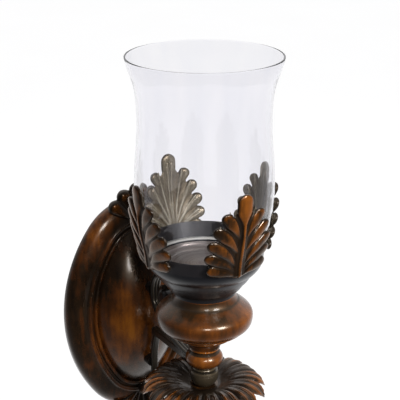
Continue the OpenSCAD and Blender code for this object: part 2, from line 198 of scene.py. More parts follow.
def tube(centre, half_width, half_depth, steps=36, around=18, tip=0.2, root=0.06):
    """A rounded finger in flat coordinates (across, up, out). centre(t) gives its middle line, and
    half_width(t) and half_depth(t) its section. Its two ends are rounded off over tip and root."""
    t = 1 - np.linspace(1, 0, steps + 1) ** 1.5
    middle = np.array([centre(x) for x in t])
    along = np.gradient(middle[:, :2], axis=0)
    along /= np.linalg.norm(along, axis=1)[:, None]
    points = [tuple(middle[0])]
    for k in range(1, steps):
        ends = math.sqrt(max(1 - max(0, (t[k] - 1 + tip) / tip) ** 2, 0))
        ends *= math.sqrt(max(1 - max(0, (root - t[k]) / root) ** 2, 0))
        w, d = half_width(t[k]) * ends, half_depth(t[k]) * (0.35 + 0.65 * ends)
        for j in range(around):
            a = 2 * math.pi * j / around
            across = np.array([along[k][1], -along[k][0], 0]) * w * math.cos(a)
            points.append(tuple(middle[k] + across + np.array([0, 0, d * math.sin(a)])))
    points.append(tuple(middle[-1]))
    last = len(points) - 1
    faces = []
    for j in range(around):
        m = (j + 1) % around
        faces.append((0, 1 + m, 1 + j))
        faces.append((last, last - around + j, last - around + m))
        for k in range(steps - 2):
            a, b = 1 + k * around, 1 + (k + 1) * around
            faces.append((a + j, a + m, b + m, b + j))
    return points, faces


def with_modifiers(obj):
    """A new mesh that holds the object as its modifiers leave it."""
    graph = bpy.context.evaluated_depsgraph_get()
    return bpy.data.meshes.new_from_object(obj.evaluated_get(graph))


def fused(parts, voxel, rounds):
    """The parts melted into one closed skin, as arrays of points and faces in millimetres."""
    points, faces = [], []
    for more, linked in parts:
        faces += [[i + len(points) for i in f] for f in linked]
        points += more
    rough = make_object("rough", points, faces)
    melt = rough.modifiers.new("melt", "REMESH")
    melt.mode = "VOXEL"
    melt.voxel_size = voxel * MM
    relax = rough.modifiers.new("relax", "SMOOTH")
    relax.factor = 0.5
    relax.iterations = rounds
    done = with_modifiers(rough)
    skin = np.array([v.co for v in done.vertices]) / MM
    sides = [tuple(p.vertices) for p in done.polygons]
    old = rough.data
    bpy.data.objects.remove(rough)
    bpy.data.meshes.remove(old)
    bpy.data.meshes.remove(done)
    return skin, sides


# ---------------------------------------------------------------- finishes

def feed(tree, socket, value):
    """Links a socket to another node's output, or sets it to a plain value."""
    if isinstance(value, bpy.types.NodeSocket):
        tree.links.new(value, socket)
    else:
        socket.default_value = value


def add(tree, kind, settings=None, **inputs):
    """A shader node. Inputs are values, or the outputs of other nodes."""
    node = tree.nodes.new("ShaderNode" + kind)
    for key, value in (settings or {}).items():
        setattr(node, key, value)
    for key, value in inputs.items():
        feed(tree, node.inputs[key.replace("_", " ")], value)
    return node


def calc(tree, operation, a, b=0.0, c=0.0):
    """A sum on numbers or on the outputs of other nodes."""
    node = tree.nodes.new("ShaderNodeMath")
    node.operation = operation
    for socket, value in zip(node.inputs, (a, b, c)):
        feed(tree, socket, value)
    return node.outputs[0]


def ramp(tree, factor, stops):
    """Colours that follow factor: stops has (place, colour)."""
    node = add(tree, "ValToRGB", Fac=factor)
    band = node.color_ramp
    while len(band.elements) < len(stops):
        band.elements.new(0.5)
    for element, (place, colour) in zip(band.elements, stops):
        element.position = place
        element.color = (*colour, 1)
    return node.outputs["Color"]


def noise(tree, place, scale, detail=4.0, roughness=0.55, stretch=(1, 1, 1)):
    """Cloudy noise from 0 to 1, with its features stretch times as long along each axis."""
    longer = add(tree, "Mapping", Vector=place, Scale=tuple(1 / s for s in stretch))
    node = add(tree, "TexNoise", Vector=longer.outputs[0], Scale=scale, Detail=detail,
               Roughness=roughness)
    return node.outputs["Fac"]


def begin(name, **values):
    """A new material: its tree, its shader and the object's own coordinates."""
    material = bpy.data.materials.new(name)
    material.use_nodes = True
    tree = material.node_tree
    shader = tree.nodes["Principled BSDF"]
    for key, value in values.items():
        shader.inputs[key.replace("_", " ")].default_value = value
    place = add(tree, "TexCoord").outputs["Object"]
    return material, tree, shader, place


def bumped(tree, shader, height, distance, strength=1.0):
    """Fine unevenness of the surface, distance deep in metres."""
    bump = add(tree, "Bump", Height=height, Distance=distance, Strength=strength)
    tree.links.new(bump.outputs[0], shader.inputs["Normal"])


def relief_of(tree):
    """The relief that make_object stores on each piece."""
    return add(tree, "Attribute", {"attribute_name": "relief"}).outputs["Fac"]


# Painted reflection for the leaves' hidden faces: a grey haze, with paler painted highlights on the
# ribs
INSIDE_PAINTED_SHEEN = [(0.25, (0.040, 0.030, 0.020)), (0.50, (0.15, 0.125, 0.085)), (0.80, (0.46, 0.42, 0.33))]


def glazed(name, stops, mottle, rub, gloss, grain=0.5, wear_and_highlight=None, **values):
    """Dark glaze over a warmer ground. The ground shows by mottle in soft patches and by rub on the
    ridges, gloss is (least, most) roughness. The spot given after grain is a place in metres, a
    reach and an amount by which the ground shows more there: wear on the plate's boss, a painted
    highlight on the front leaf's top lobe. Where inside is 1, on the leaves' hidden faces, a
    painted reflection takes the place of stops, with painted highlights on the ribs."""
    material, tree, shader, place = begin(name, **values)
    patches = noise(tree, place, 24, 5, 0.6, (1, 1, 1.6))
    brushed = noise(tree, place, 160, 4, 0.6, (1, 1, 7))
    cloud = calc(tree, "MULTIPLY_ADD", calc(tree, "SUBTRACT", patches, 0.5), mottle, 0.5)
    cloud = calc(tree, "MULTIPLY_ADD", calc(tree, "SUBTRACT", brushed, 0.5), grain, cloud)
    lift = calc(tree, "SUBTRACT", relief_of(tree), 0.5)
    shown = calc(tree, "MULTIPLY_ADD", lift, rub, cloud)
    if wear_and_highlight:
        middle, reach, amount = wear_and_highlight
        away = add(tree, "VectorMath", {"operation": "DISTANCE"})
        tree.links.new(place, away.inputs[0])
        away.inputs[1].default_value = middle
        near = add(tree, "MapRange", {"interpolation_type": "SMOOTHSTEP"},
                   Value=away.outputs["Value"], From_Min=reach, From_Max=0.0, To_Min=0.0,
                   To_Max=amount)
        shown = calc(tree, "ADD", shown, near.outputs[0])
    # On the leaves' hidden faces a painted reflection takes the place of the glaze
    inside = add(tree, "Attribute", {"attribute_name": "inside"})
    finish = add(tree, "MixRGB", Fac=inside.outputs["Fac"], Color1=ramp(tree, shown, stops),
                 Color2=ramp(tree, shown, INSIDE_PAINTED_SHEEN))
    tree.links.new(finish.outputs[0], shader.inputs["Base Color"])
    smear = noise(tree, place, 70, 3, 0.5)
    rough = add(tree, "MapRange", Value=smear, From_Min=0.3, From_Max=0.7, To_Min=gloss[0],
                To_Max=gloss[1])
    dull = add(tree, "MapRange", Value=relief_of(tree), From_Min=0.15, From_Max=0.5, To_Min=0.28,
               To_Max=0.0)
    tree.links.new(calc(tree, "ADD", rough.outputs[0], dull.outputs[0]), shader.inputs["Roughness"])
    fine = noise(tree, place, 420, 3, 0.6, (1, 1, 3))
    bumped(tree, shader, fine, 0.00012, 0.35)
    return material


BLACK_BROWN = (0.0055, 0.0030, 0.0022)
DARK_BROWN = (0.024, 0.0115, 0.0045)
MAHOGANY = (0.088, 0.026, 0.0055)
BURNT_ORANGE = (0.27, 0.080, 0.009)
AMBER = (0.42, 0.135, 0.011)
COPPER = (0.60, 0.29, 0.075)
WARM = (1.0, 0.72, 0.48, 1)

plate_wood = glazed("plate_wood", [(0.26, BLACK_BROWN), (0.46, DARK_BROWN), (0.62, MAHOGANY),
                                   (0.84, BURNT_ORANGE), (1.0, AMBER)],
                    1.3, 0.16, (0.22, 0.34), 0.6, ((-0.022, -0.034, -0.012), 0.065, 0.34),
                    Coat_Weight=0.7, Coat_Roughness=0.17, Specular_Tint=WARM)
turned_wood = glazed("turned_wood", [(0.18, BLACK_BROWN), (0.44, DARK_BROWN), (0.60, MAHOGANY),
                                     (0.85, BURNT_ORANGE)],
                     0.9, 0.55, (0.22, 0.34), 0.35, Coat_Weight=0.35, Coat_Roughness=0.12,
                     Specular_Tint=WARM)
# The spot on the front leaf's top lobe below is a painted highlight
carved_bronze = glazed("carved_bronze", [(0.30, BLACK_BROWN), (0.52, DARK_BROWN),
                                         (0.80, BURNT_ORANGE), (1.0, COPPER)],
                       0.9, 0.66, (0.16, 0.30), 0.35,
                       ((0, -(REACH + 55) * MM, (LEAF_TOP - 6) * MM), 0.022, 0.32),
                       Metallic=0.35, Coat_Weight=0.45, Coat_Roughness=0.12, Specular_Tint=WARM)
arm_iron = glazed("arm_iron", [(0.20, BLACK_BROWN), (0.50, (0.042, 0.033, 0.021)),
                               (0.90, (0.13, 0.095, 0.055))],
                  0.5, 0.5, (0.24, 0.38), 0.2, Metallic=0.5, Coat_Weight=0.5, Coat_Roughness=0.18)
bowl_bronze = glazed("bowl_bronze", [(0.20, (0.0035, 0.0035, 0.0045)),
                                     (0.60, (0.008, 0.008, 0.010)),
                                     (0.98, (0.030, 0.024, 0.024))],
                     0.4, 0.35, (0.26, 0.38), 0.2, Coat_Weight=0.25, Coat_Roughness=0.14)


def turned_metal(name, dark, pale, rings_per_m, gloss, **values):
    """Metal with the fine rings that a lathe leaves round the column's axis."""
    material, tree, shader, place = begin(name, **values)
    centred = add(tree, "Mapping", Vector=place, Location=(0, REACH * MM, 0))
    parts = add(tree, "SeparateXYZ", Vector=centred.outputs[0])
    square = calc(tree, "MULTIPLY_ADD", parts.outputs[0], parts.outputs[0],
                  calc(tree, "MULTIPLY", parts.outputs[1], parts.outputs[1]))
    radius = add(tree, "CombineXYZ", X=calc(tree, "SQRT", square), Y=parts.outputs[2])
    ring = noise(tree, radius.outputs[0], rings_per_m, 3, 0.7)
    tree.links.new(ramp(tree, ring, [(0.3, dark), (0.7, pale)]), shader.inputs["Base Color"])
    rough = add(tree, "MapRange", Value=ring, To_Min=gloss[0], To_Max=gloss[1])
    tree.links.new(rough.outputs[0], shader.inputs["Roughness"])
    bumped(tree, shader, ring, 0.0002, 0.4)
    return material


dish_bronze = turned_metal("dish_bronze", (0.22, 0.18, 0.16), (0.50, 0.45, 0.43), 420,
                           (0.22, 0.42), Metallic=0.85)


def plain_metal(name, dark, pale, scale, gloss, **values):
    """Plating or rubber with soft patches between two shades and a faint grain."""
    material, tree, shader, place = begin(name, **values)
    patches = noise(tree, place, scale, 4, 0.6)
    tree.links.new(ramp(tree, patches, [(0.3, dark), (0.7, pale)]), shader.inputs["Base Color"])
    rough = add(tree, "MapRange", Value=patches, To_Min=gloss[0], To_Max=gloss[1])
    tree.links.new(rough.outputs[0], shader.inputs["Roughness"])
    bumped(tree, shader, noise(tree, place, scale * 9, 3, 0.5, (1, 4, 1)), 0.00008, 0.3)
    return material


plated_steel = plain_metal("plated_steel", (0.48, 0.47, 0.44), (0.66, 0.66, 0.67), 90, (0.24, 0.46),
                           Metallic=1.0)
gasket_rubber = plain_metal("gasket_rubber", (0.52, 0.51, 0.48), (0.62, 0.61, 0.58), 120,
                            (0.45, 0.65), Metallic=0.0)


def clear_glass_material():
    """Clear blown glass with a faint lilac-grey tint in upright streaks."""
    material, tree, shader, place = begin("clear_glass", IOR=1.36, Transmission_Weight=1.0,
                                          Roughness=0.0)
    streaks = noise(tree, place, 60, 2, 0.5, (1, 1, 14))
    tint = ramp(tree, streaks, [(0.32, (0.915, 0.915, 0.945)), (0.68, (0.95, 0.945, 0.965))])
    tree.links.new(tint, shader.inputs["Base Color"])
    return material


clear_glass = clear_glass_material()
finish_of = {"plate_wood": plate_wood, "turned_wood": turned_wood, "carved_bronze": carved_bronze,
             "arm_iron": arm_iron, "bowl_bronze": bowl_bronze, "dish_bronze": dish_bronze,
             "plated_steel": plated_steel, "gasket_rubber": gasket_rubber,
             "clear_glass": clear_glass}


def place_piece(obj, slot, nodes, body="sconce"):
    """Gives a new piece its finish and body, and has it stand for CAD nodes."""
    obj.data.materials.clear()
    obj.data.materials.append(finish_of[slot])
    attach(obj, body)
    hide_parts(*nodes)
    return obj


# ---------------------------------------------------------------- turned pieces of the column

KNUCKLE_FOOT_R = 7.96  # the ball's radius where the collar cuts it off
BOWL_NECK_R = 26.8  # shared by the bulb's top and the bowl's foot
GLASS_WALL = 1.4


def above(z, points):
    """Points whose heights count from z."""
    return [(r, z + h) for r, h in points]


def finial_outline():
    """Turned drop with a small ball at its end, under the lower socket."""
    top = FINIAL_TOP - FINIAL_TIP
    return above(FINIAL_TIP, [(0, 0)] + arc((0, 3), 3, -80, 40, 8)
                 + bend((2.4, 5.5), (4, 9), (13, 12), (13, 21), 18)
                 + bend((13, 21), (13, 27), (9, 31), (6.5, 33), 14)[1:]
                 + arc((6.5, 35.5), 2.5, -90, 90, 12)[1:]
                 + [(7.5, 38), (8.5, top), (0, top)])


def socket_outline():
    """Turned neck between the finial and the collar."""
    top = SOCKET_TOP - FINIAL_TOP
    return above(FINIAL_TOP, [(ROD_HOLE_R, 0), (9, 0)] + arc((9, 3), 3, -90, 60, 12)[1:]
                 + bend((9, 6), (9, 10), (12, 12), (14.5, 14), 12)
                 + bend((14.5, 14), (17, 18), (15, 24), (12, 28), 14)[1:]
                 + bend((12, 28), (11, 32), (16, 33), (17, 34), 12)[1:]
                 + [(17, 36.5), (15.5, top), (ROD_HOLE_R, top)])


def knuckle_outline():
    """A ball cut off by the collar below and the small ball above, under a narrow bead."""
    r = high("arm_knuckle")[0]
    middle = KNUCKLE_FOOT + math.sqrt(r * r - KNUCKLE_FOOT_R ** 2)
    foot = math.degrees(math.asin((KNUCKLE_FOOT - middle) / r))
    shoulder = math.degrees(math.asin((BALL_FOOT - 3.2 - middle) / r))
    return ([(ROD_HOLE_R, KNUCKLE_FOOT)] + arc((0, middle), r, foot, shoulder, 26)
            + arc((9.0, BALL_FOOT - 1.5), 1.3, -70, 80, 10) + [(ROD_HOLE_R, BALL_FOOT)])


def small_ball_outline():
    """Flattened ball under two thin beads."""
    middle = (BALL_FOOT + BULB_FOOT) / 2 - 0.75
    return ([(ROD_HOLE_R, BALL_FOOT)]
            + ellipse_arc((0, middle), high("small_ball")[0], 10, -58, 50, 30)
            + arc((11.2, middle + 8.3), 0.6, -70, 70, 8)
            + arc((12.4, BULB_FOOT - 0.7), 0.7, -70, 80, 8)
            + [(ROD_HOLE_R, BULB_FOOT)])


def bulb_outline():
    """Full bulb on a beaded foot, drawn in to the bowl's neck."""
    belly, neck = high("bulb")[0], BOWL_NECK_R
    top = BOWL_FOOT - BULB_FOOT
    return above(BULB_FOOT, [(ROD_HOLE_R, 0), (13.6, 0)]
                 + bend((13.6, 0), (14.4, 6), (20, 9), (24.6, 11.6), 16)[1:]
                 + arc((24.2, 12.6), 1.1, -60, 60, 8)
                 + bend((25.4, 13.6), (28, 15.2), (31, 16.6), (33.2, 18), 10)
                 + arc((33.2, 19), 1.2, -60, 60, 8)
                 + bend((35.6, 20), (39.6, 22), (belly, 25.6), (belly, 31), 18)
                 + bend((belly, 31), (belly, 36.5), (37.5, 38.5), (28.6, 45.4), 26)[1:]
                 + bend((28.6, 45.4), (27.4, 47.1), (neck, 49.4), (neck, top), 12)[1:]
                 + [(ROD_HOLE_R, top)])


def bowl_outline():
    """Stepped cup with a flared mouth, a seat for the glass, a ledge for the candle plate and a
    well for the nut."""
    neck, rim = BOWL_NECK_R, high("bowl")[0]
    seat, ledge, well = SEAT_Z - BOWL_FOOT, DISH_Z - BOWL_FOOT, low("bowl_washer")[2] - BOWL_FOOT
    top = RIM_Z - BOWL_FOOT
    mouth = bend((45.3, seat), (46.9, 35.5), (48.6, 40.9), (rim - 1.1, top), 14)
    return above(BOWL_FOOT, [(ROD_HOLE_R, 0)]
                 + bend((neck, 0), (neck, 3.1), (28.4, 4.9), (30.4, 6.5), 12)
                 + bend((31.6, 6.7), (33.4, 9.1), (34.6, 11.5), (36, 13.5), 12)
                 + bend((37.2, 13.7), (39.4, 16.9), (40.6, 19.3), (42, 21.3), 12)
                 + bend((43.2, 21.5), (46.6, 24.9), (48.8, 28.1), (49.2, 32.5), 16)
                 + bend((49.2, 32.5), (49.7, 37), (50.2, 40), (rim - 0.2, top - 0.7), 10)[1:]
                 + [(rim - 0.7, top)] + mouth[::-1]
                 + [(41, seat), (41, ledge), (28, ledge), (28, well), (ROD_HOLE_R, well)])


def glass_outline():
    """Blown hurricane glass: narrow foot, full belly, slight waist and flared mouth."""
    tall, lip = MOUTH_Z - GLASS_FOOT, GLASS_WALL / 2
    outer = (bend((44.5, 0), (46.6, 5.5), (48, 10), (49.4, 14.5), 10)
             + bend((49.4, 14.5), (52.6, 24.5), (57.4, 38.5), (57.4, 62.5), 24)[1:]
             + bend((57.4, 62.5), (57.4, 84.5), (54.3, 96.5), (54.3, 118.5), 24)[1:]
             + bend((54.3, 118.5), (54.3, 138.5), (56.4, 147.5), (59.6, 155.5), 20)[1:]
             + bend((59.6, 155.5), (61.4, 160.1), (62.6, 163.9), (MOUTH_R, tall - lip), 10)[1:])
    inner = [(r - GLASS_WALL, z) for r, z in outer]
    return above(GLASS_FOOT, outer + arc((MOUTH_R - lip, tall - lip), lip, 15, 165, 10)
                 + inner[:0:-1] + [inner[0]])


def dish_outline():
    """Flat disc with a raised rim and one turned groove."""
    rim, floor = high("candle_plate")[2], DISH_Z + 1.6
    return ([(0, DISH_Z), (39.6, DISH_Z), (40.3, DISH_Z + 0.5), (40.6, rim - 0.5)]
            + arc((40.1, rim - 0.5), 0.5, 0, 180, 8)[1:]
            + bend((39.6, rim - 0.5), (39.3, rim - 2.6), (38.6, DISH_Z + 1.8), (36.6, floor),
                   10)[1:]
            + [(30.4, floor), (30, DISH_Z + 1.3), (29.6, floor), (0, floor)])


turned_pieces = [
    ("finial_turning", finial_outline, "turned_wood", "drop_finial", "sconce"),
    ("socket_turning", socket_outline, "turned_wood", "lower_socket", "sconce"),
    ("knuckle_ball", knuckle_outline, "arm_iron", "arm_knuckle", "sconce"),
    ("small_ball_turning", small_ball_outline, "turned_wood", "small_ball", "sconce"),
    ("bulb_turning", bulb_outline, "turned_wood", "bulb", "sconce"),
    ("bowl_cup", bowl_outline, "bowl_bronze", "bowl", "sconce"),
    ("dish_turning", dish_outline, "dish_bronze", "candle_plate", "candle_dish"),
    ("hurricane_chimney", glass_outline, "clear_glass", "hurricane_glass", "glass"),
]
for name, outline, slot, node, body in turned_pieces:
    place_piece(lathe(name, outline()), slot, [node], body)


# ---------------------------------------------------------------- leaves round the bowl

LEAF_FOOT = low("leaf_front")[2]
LEAF_TALL = LEAF_TOP - LEAF_FOOT
LEAF_HALF_W = high("leaf_front")[0] + 1.5
leaf_wall = np.array(bend((49.7, LEAF_FOOT - 2), (50.4, 98), (50.9, 104), (52.6, 111))
                     + bend((52.6, 111), (55.6, 122), (58.2, 136), (58.4, 156))[1:]
                     + [(58.8, LEAF_TOP + 6)])

# One side of a leaf, from its foot up: height and reach of each finger's end as shares of the
# leaf's height and half width, and the angle at which the finger arrives there
leaf_fingers = [(0.135, 0.90, -2), (0.30, 1.0, 12), (0.47, 0.96, 27), (0.64, 0.81, 44),
                (0.80, 0.56, 64)]


def leaf_finger(height, share, angle, side):
    """One finger: it fans out from low on the midrib to its rounded end."""
    reach, up = share * LEAF_HALF_W, height * LEAF_TALL
    turn = math.radians(angle)
    back = 0.42 * reach
    start = max(2.0, up - 0.38 * LEAF_TALL)
    line = np.array(bend((1.0, start), (0.24 * reach, start + 0.48 * (up - start)),
                         (reach - back * math.cos(turn), up - back * math.sin(turn)),
                         (reach, up), 40))
    narrow, wide = 1.3, 5

    def centre(t):
        s, h = (np.interp(t, np.linspace(0, 1, 41), line[:, k]) for k in (0, 1))
        return (side * s, h, 2.1 + 0.5 * smoothstep(t * 2) + 0.9 * t ** 3)

    return tube(centre, lambda t: narrow + (wide - narrow) * smoothstep((t - 0.10) / 0.60),
                lambda t: 1.0 + 1.3 * smoothstep((t - 0.1) / 0.5), tip=0.17)


def leaf_rib(start, end):
    """A thin rib on the leaf's inside, from its foot towards the end of a lobe."""
    return tube(lambda t: (start[0] + (end[0] - start[0]) * t ** 1.4,
                           start[1] + (end[1] - start[1]) * t, 0.95 - 0.2 * t),
                lambda t: 0.55 + 0.35 * t, lambda t: 0.75, around=10, tip=0.1)


def leaf_skin():
    """The carved leaf laid flat: fingers, top lobe and midrib on a thin web, melted together."""
    top = LEAF_TALL
    parts = [leaf_finger(h, r, a, side) for side in (-1, 1) for h, r, a in leaf_fingers]
    parts.append(tube(lambda t: (0, 0.40 * top + 0.60 * top * t, 2.3 + 0.5 * t + 1.0 * t ** 3),
                      lambda t: 1.8 + 5.2 * smoothstep((t - 0.38) / 0.34),
                      lambda t: 1.3 + 1.2 * smoothstep(t * 1.3), tip=0.15))
    parts.append(tube(lambda t: (0, 0.5 + 0.80 * top * t, 3.2 + 0.6 * t),
                      lambda t: 1.9 - 0.8 * t, lambda t: 1.4 - 0.3 * t, tip=0.3))
    parts.append(tube(lambda t: (0, 0.8 + 0.70 * top * t, 2.3),
                      lambda t: 7.0 - 4.0 * t, lambda t: 1.5 - 0.4 * t, tip=0.1, around=24))
    web = [(0, 4), (0.07, 14), (0.16, 19), (0.34, 22), (0.54, 21), (0.74, 16), (0.86, 9), (0.94, 5),
           (1, 4)]
    parts.append(tube(lambda t: (0, 0.2 + 0.88 * top * t, 1.9),
                      lambda t: float(np.interp(t, *zip(*web))), lambda t: 0.75, tip=0.05,
                      around=32))
    for side in (-1, 1):
        for k, (height, share, _) in enumerate(leaf_fingers):
            for aside in (-1.6, 1.6):
                end = (side * (share * LEAF_HALF_W - 4.5), height * top + aside)
                parts.append(leaf_rib((side * (0.8 + 0.25 * k), 2.0 + 0.8 * k), end))
        parts.append(leaf_rib((side * 0.6, 6), (side * 2.2, 0.9 * top)))
    return fused(parts, 0.5, 2)


def relief_of_skin(skin, cell=0.6, spread=4, depth=0.9):
    """How far each point of a flat carving stands out of the face round it, and which points are
    on its back."""
    place = np.floor((skin[:, :2] - skin[:, :2].min(0)) / cell).astype(int) + spread
    at = (place[:, 0], place[:, 1])
    size = place.max(0) + spread + 1
    found = []
    for sign in (1, -1):
        face = np.full(size, -np.inf)
        np.maximum.at(face, at, sign * skin[:, 2])
        filled = np.isfinite(face)
        total, count = np.zeros(size), np.zeros(size)
        for dx in range(-spread, spread + 1):
            for dy in range(-spread, spread + 1):
                total += np.roll(np.where(filled, face, 0), (dx, dy), (0, 1))
                count += np.roll(filled, (dx, dy), (0, 1))
        mean = total / np.maximum(count, 1)
        found.append((face[at] - sign * skin[:, 2], sign * skin[:, 2] - mean[at]))
    (front_gap, front), (back_gap, back) = found
    in_front = front_gap < back_gap
    stands = np.where(in_front, front, back)
    return np.clip(0.5 + stands / (2 * depth), 0, 1), np.where(in_front, 0.0, 1.0)


def stand_leaf(name, node, turn, skin, faces, relief, inside):
    """The flat leaf bent round the bowl and the glass, turned to its place."""
    z = LEAF_FOOT + skin[:, 1]
    wall = np.interp(z, leaf_wall[:, 1], leaf_wall[:, 0])
    a = skin[:, 0] / (wall + 1.5) + math.radians(turn)
    r = wall + skin[:, 2]
    points = np.stack([r * np.sin(a), -REACH - r * np.cos(a), z], 1)
    place_piece(make_object(name, points, faces, 60, relief, inside), "carved_bronze", [node])


skin, skin_faces = leaf_skin()
skin_relief, skin_inside = relief_of_skin(skin)
for name, turn in (("front", 0), ("right", 90), ("back", 180), ("left", 270)):
    stand_leaf(f"carved_leaf_{name}", f"leaf_{name}", turn, skin, skin_faces, skin_relief,
               skin_inside)


# ---------------------------------------------------------------- leaf collar

PETALS = 16
PETAL_STEPS = 28
COLLAR_TIP_R = high("leaf_collar")[0]
HUB_R = 17.4
COLLAR_CREST = (33, high("leaf_collar")[2])


def collar():
    """Canopy of drooping petals: a turned shell with a ridged, pointed petal every 22.5 degrees."""
    drop = COLLAR_CREST[1]
    over = np.array(bend((12, KNUCKLE_FOOT), (19, KNUCKLE_FOOT + 0.5), (24, drop), COLLAR_CREST, 22)
                    + bend(COLLAR_CREST, (44, drop), (50, drop - 4.5),
                           (COLLAR_TIP_R + 0.6, drop - 12), 34)[1:])
    under = np.array(bend((17, drop - 9), (22, drop - 8.5), (26, drop - 3.2), (33, drop - 3), 22)
                     + bend((33, drop - 3), (41, drop - 3.3), (46.5, drop - 7),
                            (COLLAR_TIP_R - 1.6, drop - 12.5), 34)[1:])
    run = np.linspace(0, 1, len(over))
    turns = PETALS * PETAL_STEPS
    points, relief = [], []
    rows = len(over)
    for shell, sign in ((over, 1), (under, -1)):
        step = np.gradient(shell, axis=0)
        step /= np.linalg.norm(step, axis=1)[:, None]
        normal = np.stack([-step[:, 1], step[:, 0]], 1)
        for k in range(turns):
            across = (k / PETAL_STEPS + 0.5) % 1 * 2 - 1
            # pointed petals: the shell ends sooner towards the gap between two of them
            own = math.sin(2.4 * ((k + PETAL_STEPS // 2) // PETAL_STEPS % PETALS) + 1)
            end = 1 - (0.38 + 0.05 * own) * abs(across) ** 1.4
            at = run * end
            grow = smoothstep((at - 0.12) / 0.45)
            fold = abs(abs(across) - 0.5) * 2
            ridge = (1.7 + 0.3 * own) * (1 - (1.0 if abs(across) > 0.5 else 0.55) * fold ** 1.15)
            ridge -= 0.8 * math.exp(-((1 - abs(across)) / 0.12) ** 2)
            ridge += 0.22 * math.cos(9 * math.pi * across)
            sink = grow * (ridge if sign > 0 else 0.8 * ridge)
            a = 2 * math.pi * k / turns
            for j in range(rows):
                p = [np.interp(at[j], run, shell[:, c]) for c in (0, 1)]
                n = [np.interp(at[j], run, normal[:, c]) for c in (0, 1)]
                thin = 0.9 * smoothstep((at[j] - 0.7) / 0.3) * sign
                r, z = p[0] + (sink[j] - thin) * n[0], p[1] + (sink[j] - thin) * n[1]
                points.append((r * math.sin(a), -REACH - r * math.cos(a), z))
                # painted shade in the throat: the relief falls to 0 near the hub
                stands = 0.5 + grow[j] * (ridge - 1.35) / 2.3 * sign - 0.5 * (1 - grow[j])
                relief.append(np.clip(stands + 0.15 * smoothstep((run[j] - 0.75) / 0.25), 0, 1))
    faces = []
    half = turns * rows
    for k in range(turns):
        m = (k + 1) % turns
        for j in range(rows - 1):
            for start in (0, half):
                a, b = start + k * rows + j, start + m * rows + j
                faces.append((a, b, b + 1, a + 1))
        for edge in (0, rows - 1):
            a, b = k * rows + edge, m * rows + edge
            faces.append((a, b, half + b, half + a))
    return make_object("petal_collar", points, faces, 50, relief)


def collar_hub():
    """The collar's solid middle, which the tie rod clamps."""
    return lathe("collar_hub", [(ROD_HOLE_R, SOCKET_TOP), (14, SOCKET_TOP),
                                (HUB_R, SOCKET_TOP + 4), (HUB_R, KNUCKLE_FOOT - 0.6),
                                (13, KNUCKLE_FOOT), (ROD_HOLE_R, KNUCKLE_FOOT)])


place_piece(collar(), "carved_bronze", ["leaf_collar"])
place_piece(collar_hub(), "carved_bronze", ["leaf_collar"])


# ---------------------------------------------------------------- wall plate

JOIN = (0.8, 0.6)
arc_span = (HALF_H - HALF_W) / (JOIN[0] + JOIN[1] - 1)
side_offset, end_offset = arc_span * JOIN[0], arc_span * JOIN[1]
side_r, end_r = HALF_W + side_offset, HALF_H - end_offset
join_angle = math.degrees(math.atan2(JOIN[1], JOIN[0]))
BAND_H = 14
BOSS_IN = 28
boss_half_w, boss_half_h = HALF_W - BOSS_IN, HALF_H - BOSS_IN
boss_rise = BOSS_H - BAND_H + 1
cross_r = (boss_half_w ** 2 + boss_rise ** 2) / (2 * boss_rise)
long_r = (boss_half_h ** 2 + boss_rise ** 2) / (2 * boss_rise)


def oval(inset, n=44):
    """The plate's outline, inset from its edge: two side arcs and two end arcs."""
    ring = []
    for centre, r, middle, half in (((-side_offset, 0), side_r, 0, join_angle),
                                    ((0, end_offset), end_r, 90, 90 - join_angle),
                                    ((side_offset, 0), side_r, 180, join_angle),
                                    ((0, -end_offset), end_r, 270, 90 - join_angle)):
        ring += arc(centre, r - inset, middle - half, middle + half, n)[:-1]
    return np.array(ring)


def boss_height(x, z):
    """Height of the barrel-shaped boss above the wall."""
    around = cross_r - long_r + np.sqrt(long_r ** 2 - z ** 2)
    return BOSS_H - cross_r + np.sqrt(np.maximum(around ** 2 - x ** 2, 0))


def plate():
    """Domed oval plate: a convex band, two beads, then the boss."""
    band = ([(0, 0), (0, 1.2)] + ellipse_arc((17, 2), 17, BAND_H - 2, 178, 90, 26)
            + arc((19.6, BAND_H), 2.2, 170, 10, 16)
            + [(22.3, BAND_H - 1.5), (23.7, BAND_H - 1.5)]
            + arc((26, BAND_H - 0.6), 1.8, 170, 10, 14))
    stands = outline_relief(band + [(28, 12.5), (30, 14), (33, 17)], 5, 0.9)
    points, relief, rings = [], [], []
    for (inset, height), lift in zip(band, stands):
        ring = oval(inset)
        rings.append(len(points))
        points += [(x, -height, z) for x, z in ring]
        relief += [1 - lift] * len(ring)
    count = len(ring)
    edge = oval(BOSS_IN)
    for share in np.linspace(1, 0.04, 44):
        rings.append(len(points))
        x, z = edge[:, 0] * share, edge[:, 1] * share
        points += [(a, -h, b) for a, h, b in zip(x, boss_height(x, z), z)]
        relief += [0.5 + 0.12 * (share < 0.8)] * count
    faces = []
    for a, b in zip(rings, rings[1:]):
        for k in range(count):
            m = (k + 1) % count
            faces.append((a + k, a + m, b + m, b + k))
    points += [(0, -BOSS_H, 0), (0, 0, 0)]
    relief += [0.62, 0.5]
    for k in range(count):
        m = (k + 1) % count
        faces.append((rings[-1] + k, rings[-1] + m, len(points) - 2))
        faces.append((k, m, len(points) - 1))
    return make_object("domed_plate", points, faces, 35, relief)


def box_cutter(lo, hi):
    """A box between two opposite corners."""
    work = bmesh.new()
    for v in bmesh.ops.create_cube(work, size=1)["verts"]:
        v.co = [((l + h) / 2 + c * (h - l)) * MM for c, l, h in zip(v.co, lo, hi)]
    return work


def hole_cutter(x, z, r, depth):
    """A round pocket into the plate's back, along Y."""
    work = bmesh.new()
    made = bmesh.ops.create_cone(work, cap_ends=True, segments=64, radius1=r * MM, radius2=r * MM,
                                 depth=(depth + 1) * MM)["verts"]
    for v in made:
        v.co = (v.co.x + x * MM, v.co.z - (depth - 1) / 2 * MM, v.co.y + z * MM)
    return work


BACK_FACE = -0.0003  # metres; what lies nearer the wall is the plate's back


